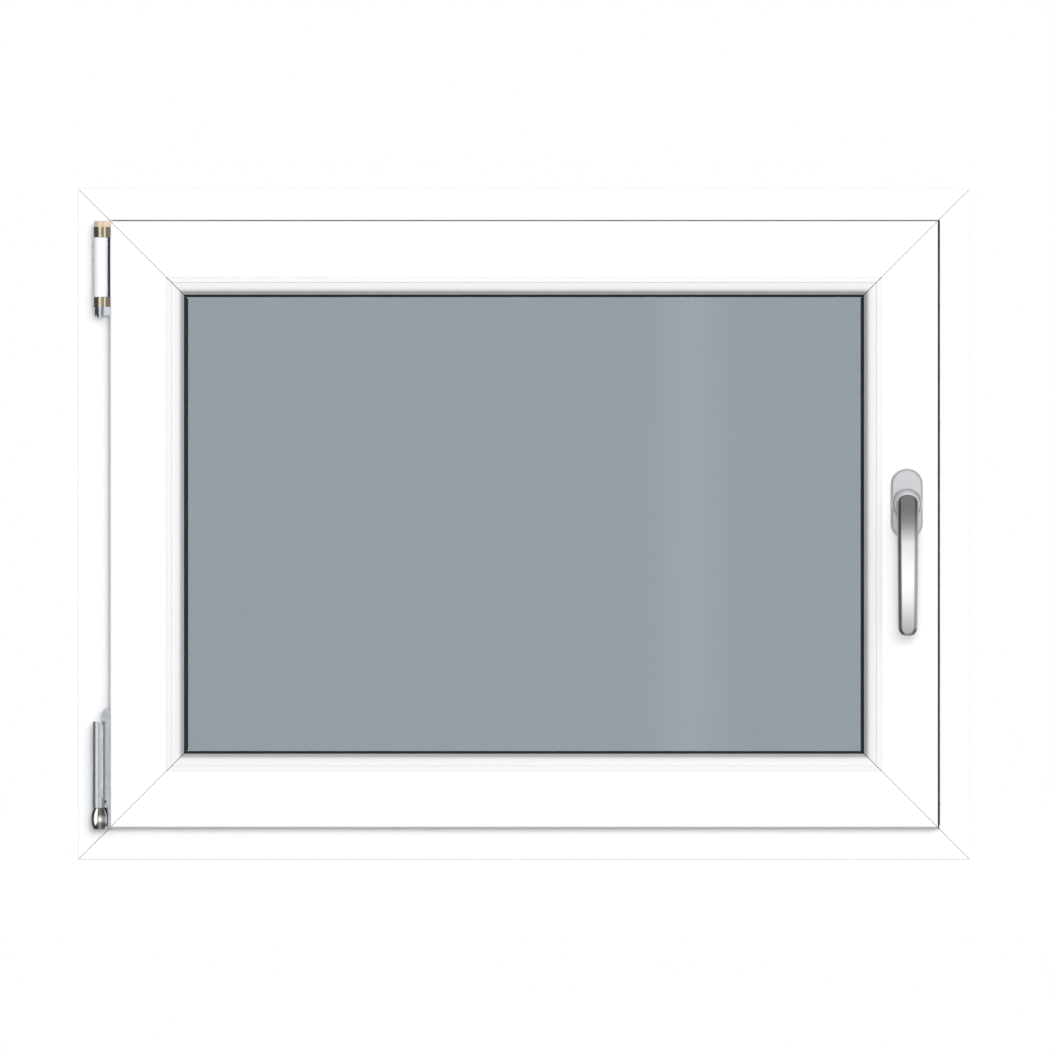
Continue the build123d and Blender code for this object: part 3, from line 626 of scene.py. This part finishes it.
def add_screw(builder, centre, normal, radius, lobes):
    """Low screw head with a bevelled rim and a lobed socket."""
    height = radius * HEAD_HEIGHT
    turn = pointing(centre, normal)
    made = bmesh.ops.create_cone(
        builder, cap_ends=True, segments=SIDES_PER_LOBE * lobes, radius1=radius, radius2=radius * HEAD_TOP,
        depth=height, matrix=turn @ Matrix.Translation((0, 0, height / 2)),
    )
    faces = {face for vert in made["verts"] for face in vert.link_faces}
    top = max(faces, key=lambda face: face.calc_center_median().dot(normal))
    bmesh.ops.inset_region(builder, faces=[top], thickness=radius * HEAD_RIM)
    axis = top.calc_center_median()
    for index, vert in enumerate(top.verts):
        if index % SIDES_PER_LOBE < SIDES_PER_LOBE / 2:
            vert.co = axis + (vert.co - axis) * SOCKET_WAIST
    floor = bmesh.ops.extrude_discrete_faces(builder, faces=[top])["faces"]
    bmesh.ops.translate(builder, verts=floor[0].verts, vec=-normal * height * SOCKET_DEPTH)


class WINDOW_OT_hinge_screws(Operator):
    """Screws of the hinge brackets and the adjuster in the lower leaf, the adjuster black as painted shade
    of its hole
    """

    bl_idname = "window_part.hinge_screws"
    bl_label = "Hinge screws"

    def execute(self, context):
        hinge = context.scene.window_part.hinge
        radius = hinge.screw_radius
        material = plated("screw_plate", hinge.zinc, roughness=0.25, change=0.85)
        builder = bmesh.new()
        plate_front = bar_span("frame_head", Y)[0] - BRACKET_PLATE
        for bracket in BRACKETS:
            low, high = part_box(bracket)
            for share in SCREW_HEIGHTS:
                z = low[Z] + (high[Z] - low[Z]) * share
                centre = Vector((low[X] + radius * SCREW_INSET, plate_front, z))
                add_screw(builder, centre, TO_ROOM, radius, SCREW_LOBES)
        finish_piece("hinge_screws", builder, material)
        builder = bmesh.new()
        low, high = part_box("corner_hinge_band")
        leaf_front = bar_span("sash_top_rail", Y)[0] + LEAF_SETBACK
        centre = Vector((high[X] - ADJUSTER_FROM_SASH, leaf_front, low[Z] + ADJUSTER_HEIGHT))
        add_screw(builder, centre, TO_ROOM, radius * ADJUSTER_SIZE, ADJUSTER_LOBES)
        finish_piece("hinge_adjuster", builder, black_rubber_and_shade(ADJUSTER_HOLE_SHADE))
        return {"FINISHED"}


# Spacer details
def add_edge_line(builder, side_x, low_z, high_z, y, width):
    """Four strips that follow the inner edge of the spacer."""
    places = ((-side_x, low_z), (side_x, low_z), (side_x, high_z), (-side_x, high_z))
    corners = [Vector((x, y, z)) for x, z in places]
    for index, corner in enumerate(corners):
        add_strip(builder, corners[index - 1], corner, TO_WEATHER, width, width)


def add_hole(builder, centre, normal, radius):
    """Long hole, drawn as a thin raised black fleck in painted shade of the hole."""
    stretch = Matrix.Diagonal((1, HOLE_STRETCH, 1, 1))
    made = bmesh.ops.create_circle(
        builder, cap_ends=True, segments=HOLE_SIDES, radius=radius,
        matrix=pointing(centre, normal) @ stretch,
    )
    face = made["verts"][0].link_faces[0]
    lifted = bmesh.ops.extrude_discrete_faces(builder, faces=[face])["faces"][0]
    bmesh.ops.translate(builder, verts=lifted.verts, vec=normal * radius * HOLE_RISE)


class WINDOW_OT_spacer_details(Operator):
    """Drying holes and dark seal lines of the spacer between the panes; the holes are black flecks painted
    as their shade
    """

    bl_idname = "window_part.spacer_details"
    bl_label = "Spacer details"

    def execute(self, context):
        glazing = context.scene.window_part.glazing
        low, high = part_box("glass_spacer")
        inner_x = high[X] - SPACER_HEIGHT
        low_z = low[Z] + SPACER_HEIGHT
        high_z = high[Z] - SPACER_HEIGHT
        middle_y = (low[Y] + high[Y]) / 2
        # One black: real on the seal lines, painted shade on the drying holes.
        dark = black_rubber_and_shade(glazing.seal_black)
        builder = bmesh.new()
        across = int(2 * inner_x / glazing.hole_pitch)
        upright = int((high_z - low_z) / glazing.hole_pitch)
        for step in range(1, across):
            x = -inner_x + 2 * inner_x * step / across
            add_hole(builder, Vector((x, middle_y, low_z)), Vector((0, 0, 1)), HOLE_RADIUS)
            add_hole(builder, Vector((x, middle_y, high_z)), Vector((0, 0, -1)), HOLE_RADIUS)
        for step in range(1, upright):
            z = low_z + (high_z - low_z) * step / upright
            add_hole(builder, Vector((-inner_x, middle_y, z)), Vector((1, 0, 0)), HOLE_RADIUS)
            add_hole(builder, Vector((inner_x, middle_y, z)), Vector((-1, 0, 0)), HOLE_RADIUS)
        finish_piece("spacer_holes", builder, dark)
        builder = bmesh.new()
        inset = SEAL_LINE / 2
        for y in (low[Y] + inset, high[Y] - inset):
            add_edge_line(builder, inner_x - inset, low_z + inset, high_z - inset, y, SEAL_LINE)
        finish_piece("spacer_seal_lines", builder, dark)
        return {"FINISHED"}


# Soft lip of the sash seal, also standing in for the shade of the gap on the top and the handle side
class WINDOW_OT_seal_lip(Operator):
    """Soft lip of the sash seal that shows as a thin line along the top and the handle side only, where its
    black also stands in for the shade of the gap
    """

    bl_idname = "window_part.seal_lip"
    bl_label = "Seal lip"

    def execute(self, context):
        glazing = context.scene.window_part.glazing
        left, right = bar_span("sash_top_rail", X)
        low, high = bar_span("sash_hinge_stile", Z)
        y = bar_span("frame_head", Y)[0] - LIP_LIFT
        side_x = right + LIP_REACH_SIDE - LIP_WIDTH / 2
        top_z = high + LIP_REACH_TOP - LIP_WIDTH / 2
        corner = Vector((side_x + LIP_WIDTH / 2, y, top_z + LIP_WIDTH / 2))
        builder = bmesh.new()
        side = (Vector((side_x, y, low + LIP_WIDTH)), Vector((side_x, y, corner.z)))
        top = (Vector((left + LIP_WIDTH, y, top_z)), Vector((corner.x, y, top_z)))
        for start, end in (side, top):
            add_strip(builder, start, end, TO_ROOM, LIP_WIDTH, LIP_THICKNESS)
        finish_piece("sash_seal_lip", builder, black_rubber_and_shade(glazing.seal_black))
        return {"FINISHED"}


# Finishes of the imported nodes
class WINDOW_OT_profiles(Operator):
    """White plastic on the frame, sash, beads and moulded covers"""

    bl_idname = "window_part.profiles"
    bl_label = "Plastic bars and covers"

    def execute(self, context):
        profile = context.scene.window_part.profile
        dress(white_plastic("white_plastic_level", profile.white, LEVEL_GRAIN), *LEVEL_BARS)
        dress(white_plastic("white_plastic_upright", profile.white, UPRIGHT_GRAIN), *UPRIGHT_BARS)
        # Beads take the greyer white, painted shade of their tilted faces.
        dress(white_plastic("bead_plastic_level", profile.bead_shaded_white, LEVEL_GRAIN), *LEVEL_BEADS)
        dress(white_plastic("bead_plastic_upright", profile.bead_shaded_white, UPRIGHT_GRAIN), *UPRIGHT_BEADS)
        dress(white_plastic("white_moulding", profile.cover_white, MOULDING_GRAIN), *MOULDED_COVERS)
        return {"FINISHED"}


class WINDOW_OT_glazing(Operator):
    """Glass, spacer and rubber seals"""

    bl_idname = "window_part.glazing"
    bl_label = "Glazing and seals"

    def execute(self, context):
        glazing = context.scene.window_part.glazing
        dress(tinted_glass(glazing.tint), *PANES)
        dress(spacer_metal(glazing.spacer_grey), "glass_spacer")
        dress(black_rubber_and_shade(glazing.seal_black), *SEALS)
        return {"FINISHED"}


class WINDOW_OT_handle(Operator):
    """Brushed lever on a satin rosette"""

    bl_idname = "window_part.handle"
    bl_label = "Handle"

    def execute(self, context):
        handle = context.scene.window_part.handle
        dress(brushed_silver(handle.silver), "handle_lever")
        dress(satin_silver(handle.rosette_silver), "handle_rosette", "handle_collar")
        return {"FINISHED"}


class WINDOW_OT_hinges(Operator):
    """Plated finishes of the hinges"""

    bl_idname = "window_part.hinges"
    bl_label = "Hinges"

    def execute(self, context):
        hinge = context.scene.window_part.hinge
        zinc = plated("zinc_plate", hinge.zinc, roughness=0.34, change=0.8)
        pale_zinc = plated("pale_zinc", hinge.pale_zinc, roughness=0.4, change=0.95, metallic=0.2)
        yellow_zinc = plated("yellow_zinc", hinge.yellow_zinc, roughness=0.42, change=1.06, metallic=0.3)
        bright = plated("bright_plate", hinge.bright, roughness=0.12, change=0.9)
        dress(zinc, "corner_bearing_bracket")
        dress(pale_zinc, "stay_bearing_bracket")
        dress(yellow_zinc, "stay_top_strap")
        dress(bright, *BRIGHT_PARTS)
        low, high = bar_span("stay_bearing_cap", Z)
        sash_edge = bar_span("stay_arm_band", X)[1]
        # Brown band by the sash edge: painted reflection on the stay plate.
        reflection_block = ("X", hinge.painted_reflection_brown, sash_edge - STAY_BLOCK, sash_edge + MM)
        foot = ("Z", hinge.zinc, bar_span("stay_arm_band", Z)[0] - MM, low - STAY_EYE)
        # Near-black band beside the cap: painted shade of the gap between cap and sash.
        painted_shade_leaf = ("Z", hinge.dark, low, high)
        stay_bands = (reflection_block, foot, painted_shade_leaf)
        stay = plated("stay_plate", hinge.brass, roughness=0.16, change=0.85, bands=stay_bands)
        dress(stay, "stay_arm_band")
        right = bar_span("corner_hinge_band", X)[1] - CORNER_LEAF
        # Pale band in the dip between barrel and leaf: painted light.
        groove_painted_light = ("X", hinge.groove_painted_light, right - CORNER_GROOVE, right)
        leaf = plated("leaf_plate", hinge.zinc, roughness=0.3, change=0.85, bands=(groove_painted_light,))
        dress(leaf, "corner_hinge_band")
        return {"FINISHED"}


# Studio
def studio_piece(name, builder, material):
    """New object from a filled bmesh, for the studio only."""
    mesh = bpy.data.meshes.new(name)
    builder.to_mesh(mesh)
    builder.free()
    piece = bpy.data.objects.new(name, mesh)
    bpy.context.scene.collection.objects.link(piece)
    mesh.materials.append(material)
    return piece


def reflected_card(name, place_and_size, material):
    """Flat card of the studio that shows only as a reflection."""
    builder = bmesh.new()
    bmesh.ops.create_grid(builder, x_segments=1, y_segments=1, size=0.5, matrix=place_and_size)
    card = studio_piece(name, builder, material)
    card.visible_camera = False
    card.visible_diffuse = False
    card.visible_shadow = False
    card.visible_transmission = False


def pale_floor():
    """Plain pale floor that ends behind the window, below the glass as the camera sees it."""
    material, shader = new_finish("pale_floor")
    grain = noise(material, place(material), scale=30.0)
    feed(material, shader, "Base Color", two_tone(material, grain, FLOOR_WHITE, change=1.02))
    shader.inputs["Roughness"].default_value = 0.8
    shader.inputs["Emission Color"].default_value = WHITE
    shader.inputs["Emission Strength"].default_value = FLOOR_GLOW
    builder = bmesh.new()
    below = Matrix.Translation((0, 0, -FLOOR_DROP))
    bmesh.ops.create_circle(builder, cap_ends=True, segments=FLOOR_SIDES, radius=FLOOR_RADIUS, matrix=below)
    floor = studio_piece("floor", builder, material)
    floor.visible_glossy = False
    floor.visible_diffuse = False


def studio_sky(glow, dusk, ambient):
    """Even soft light; metal mirrors a room with a bright horizon, and the camera sees plain white."""
    sky = bpy.data.worlds.new("studio_sky")
    sky.use_nodes = True
    tree = sky.node_tree
    coordinate = tree.nodes.new("ShaderNodeTexCoord")
    direction = tree.nodes.new("ShaderNodeSeparateXYZ")
    tree.links.new(coordinate.outputs["Generated"], direction.inputs["Vector"])
    above = ramp_node(tree, direction.outputs["Z"], *ROOM_ABOVE, glow, dusk)
    below = ramp_node(tree, direction.outputs["Z"], *ROOM_BELOW, dusk, 1.0)
    left = ramp_node(tree, direction.outputs["X"], *ROOM_LEFT, dusk / LEFT_FALL, 1.0)
    right = ramp_node(tree, direction.outputs["X"], *ROOM_RIGHT, 1.0, dusk * RIGHT_LIFT)
    in_height = combine(tree, "MULTIPLY", above, below)
    across = combine(tree, "MULTIPLY", left, right)
    room = combine(tree, "MULTIPLY", in_height, across)
    path = tree.nodes.new("ShaderNodeLightPath")
    mirrored = tree.nodes.new("ShaderNodeMix")
    mirrored.inputs["A"].default_value = ambient
    tree.links.new(path.outputs["Is Glossy Ray"], mirrored.inputs["Factor"])
    tree.links.new(room, mirrored.inputs["B"])
    seen = combine(tree, "MAXIMUM", path.outputs["Is Camera Ray"], path.outputs["Is Transmission Ray"])
    light = tree.nodes.new("ShaderNodeMix")
    light.inputs["B"].default_value = 1.0
    tree.links.new(seen, light.inputs["Factor"])
    tree.links.new(mirrored.outputs["Result"], light.inputs["A"])
    background = tree.nodes["Background"]
    background.inputs["Color"].default_value = WHITE
    tree.links.new(light.outputs["Result"], background.inputs["Strength"])
    return sky


def streak_finish(half_width, strength):
    """Clear card with a soft upright band of light down its middle."""
    material = bpy.data.materials.new("streak_light")
    material.use_nodes = True
    tree = material.node_tree
    tree.nodes.remove(tree.nodes["Principled BSDF"])
    coordinate = tree.nodes.new("ShaderNodeTexCoord")
    place_on_card = tree.nodes.new("ShaderNodeSeparateXYZ")
    tree.links.new(coordinate.outputs["Object"], place_on_card.inputs["Vector"])
    across = place_on_card.outputs["X"]
    rise = ramp_node(tree, across, STREAK_X - half_width, STREAK_X, 0.0, strength)
    fall = ramp_node(tree, across, STREAK_X, STREAK_X + half_width, 1.0, 0.0)
    emission = tree.nodes.new("ShaderNodeEmission")
    tree.links.new(combine(tree, "MULTIPLY", rise, fall), emission.inputs["Strength"])
    clear = tree.nodes.new("ShaderNodeBsdfTransparent")
    both = tree.nodes.new("ShaderNodeAddShader")
    tree.links.new(clear.outputs["BSDF"], both.inputs[0])
    tree.links.new(emission.outputs["Emission"], both.inputs[1])
    tree.links.new(both.outputs["Shader"], tree.nodes["Material Output"].inputs["Surface"])
    return material


def streak_card(half_width, strength):
    """Upright strip of light in front of the window, mirrored in the glass."""
    middle = Matrix.Translation((STREAK_X, STREAK_Y, STREAK_Z))
    upright = Matrix.Rotation(QUARTER_TURN, 4, "X")
    size = Matrix.Diagonal((2 * half_width, STREAK_HEIGHT, 1, 1))
    reflected_card("streak_card", middle @ upright @ size, streak_finish(half_width, strength))


def hinge_card(strength):
    """Small soft card beside the lower hinge, mirrored only by what is near it."""
    material, shader = new_finish("hinge_card")
    shader.inputs["Base Color"].default_value = BLACK
    shader.inputs["Emission Color"].default_value = WHITE
    tree = material.node_tree
    path = tree.nodes.new("ShaderNodeLightPath")
    near = ramp_node(tree, path.outputs["Ray Length"], CARD_REACH, CARD_REACH * CARD_FADE, strength, 0.0)
    feed(material, shader, "Emission Strength", near)
    low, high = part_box("corner_hinge_band")
    middle = Vector((low[X] - CARD_GAP, low[Y] - CARD_FORWARD, (low[Z] + high[Z]) / 2))
    upright = Matrix.Translation(middle) @ Matrix.Rotation(QUARTER_TURN, 4, "Y")
    size = Matrix.Diagonal((high[Z] - low[Z] + CARD_GAP, CARD_DEPTH, 1, 1))
    reflected_card("hinge_card", upright @ size, material)


def area_light(name, location, target, size, power):
    """Square soft light aimed at a point."""
    light = bpy.data.lights.new(name, "AREA")
    light.size = size
    light.energy = power
    lamp = bpy.data.objects.new(name, light)
    lamp.location = location
    lamp.rotation_euler = (Vector(target) - Vector(location)).to_track_quat("-Z", "Y").to_euler()
    lamp.visible_camera = False
    lamp.visible_glossy = False
    lamp.visible_transmission = False
    bpy.context.scene.collection.objects.link(lamp)


def room_camera(studio, centre):
    """Camera straight in front of the window, far enough away to show the picture's width."""
    camera = bpy.data.cameras.new("camera")
    camera.lens = studio.lens
    camera.sensor_width = SENSOR_WIDTH
    camera.clip_end = CLIP_END
    viewer = bpy.data.objects.new("camera", camera)
    distance = studio.picture_width * studio.lens / SENSOR_WIDTH
    viewer.location = centre - Vector((0, distance, 0))
    viewer.rotation_euler = (QUARTER_TURN, 0, 0)
    bpy.context.scene.collection.objects.link(viewer)
    bpy.context.scene.camera = viewer


class WINDOW_OT_studio(Operator):
    """Pale floor, soft light and the camera"""

    bl_idname = "window_part.studio"
    bl_label = "Studio"

    def execute(self, context):
        studio = context.scene.window_part.studio
        scene = context.scene
        scene.view_settings.view_transform = "Standard"
        scene.world = studio_sky(studio.glow, studio.dusk, studio.ambient)
        pale_floor()
        sash_y = bar_span("sash_top_rail", Y)[0]
        centre = Vector((studio.picture_centre_x, sash_y, studio.picture_centre_z))
        room_camera(studio, centre)
        area_light("key", KEY_PLACE, centre, KEY_SIZE, studio.key)
        area_light("fill", FILL_PLACE, centre, FILL_SIZE, studio.fill)
        area_light("weather_side", BACK_PLACE, centre, BACK_SIZE, studio.back)
        hinge_card(studio.hinge_glow)
        streak_card(studio.streak_width / 2, studio.streak)
        return {"FINISHED"}


# Sidebar and registration
class WINDOW_PT_sidebar(Panel):
    """Operators and settings of the window"""

    bl_label = "Window"
    bl_idname = "WINDOW_PT_sidebar"
    bl_space_type = "VIEW_3D"
    bl_region_type = "UI"
    bl_category = "Window"

    def draw(self, context):
        column = self.layout.column()
        for operator in OPERATORS:
            column.operator(operator.bl_idname)
        settings = context.scene.window_part
        groups = (settings.profile, settings.glazing, settings.handle, settings.hinge, settings.studio)
        for group in groups:
            box = self.layout.box()
            for value in group.bl_rna.properties:
                if not value.is_readonly and value.identifier != "name":
                    box.prop(group, value.identifier)


SETTINGS = (
    ProfileSettings, GlazingSettings, HandleSettings, HingeSettings, StudioSettings, WindowSettings,
)
OPERATORS = (
    WINDOW_OT_profiles, WINDOW_OT_weld_seams, WINDOW_OT_glazing, WINDOW_OT_spacer_details,
    WINDOW_OT_seal_lip, WINDOW_OT_handle, WINDOW_OT_hinges, WINDOW_OT_hinge_screws, WINDOW_OT_studio,
)
CLASSES = SETTINGS + OPERATORS + (WINDOW_PT_sidebar,)


def register():
    for item in CLASSES:
        bpy.utils.register_class(item)
    bpy.types.Scene.window_part = PointerProperty(type=WindowSettings)


def unregister():
    del bpy.types.Scene.window_part
    for item in reversed(CLASSES):
        bpy.utils.unregister_class(item)


def main():
    register()
    bpy.ops.window_part.profiles()
    bpy.ops.window_part.weld_seams()
    bpy.ops.window_part.glazing()
    bpy.ops.window_part.spacer_details()
    bpy.ops.window_part.seal_lip()
    bpy.ops.window_part.handle()
    bpy.ops.window_part.hinges()
    bpy.ops.window_part.hinge_screws()
    bpy.ops.window_part.studio()


if __name__ == "__main__":
    main()
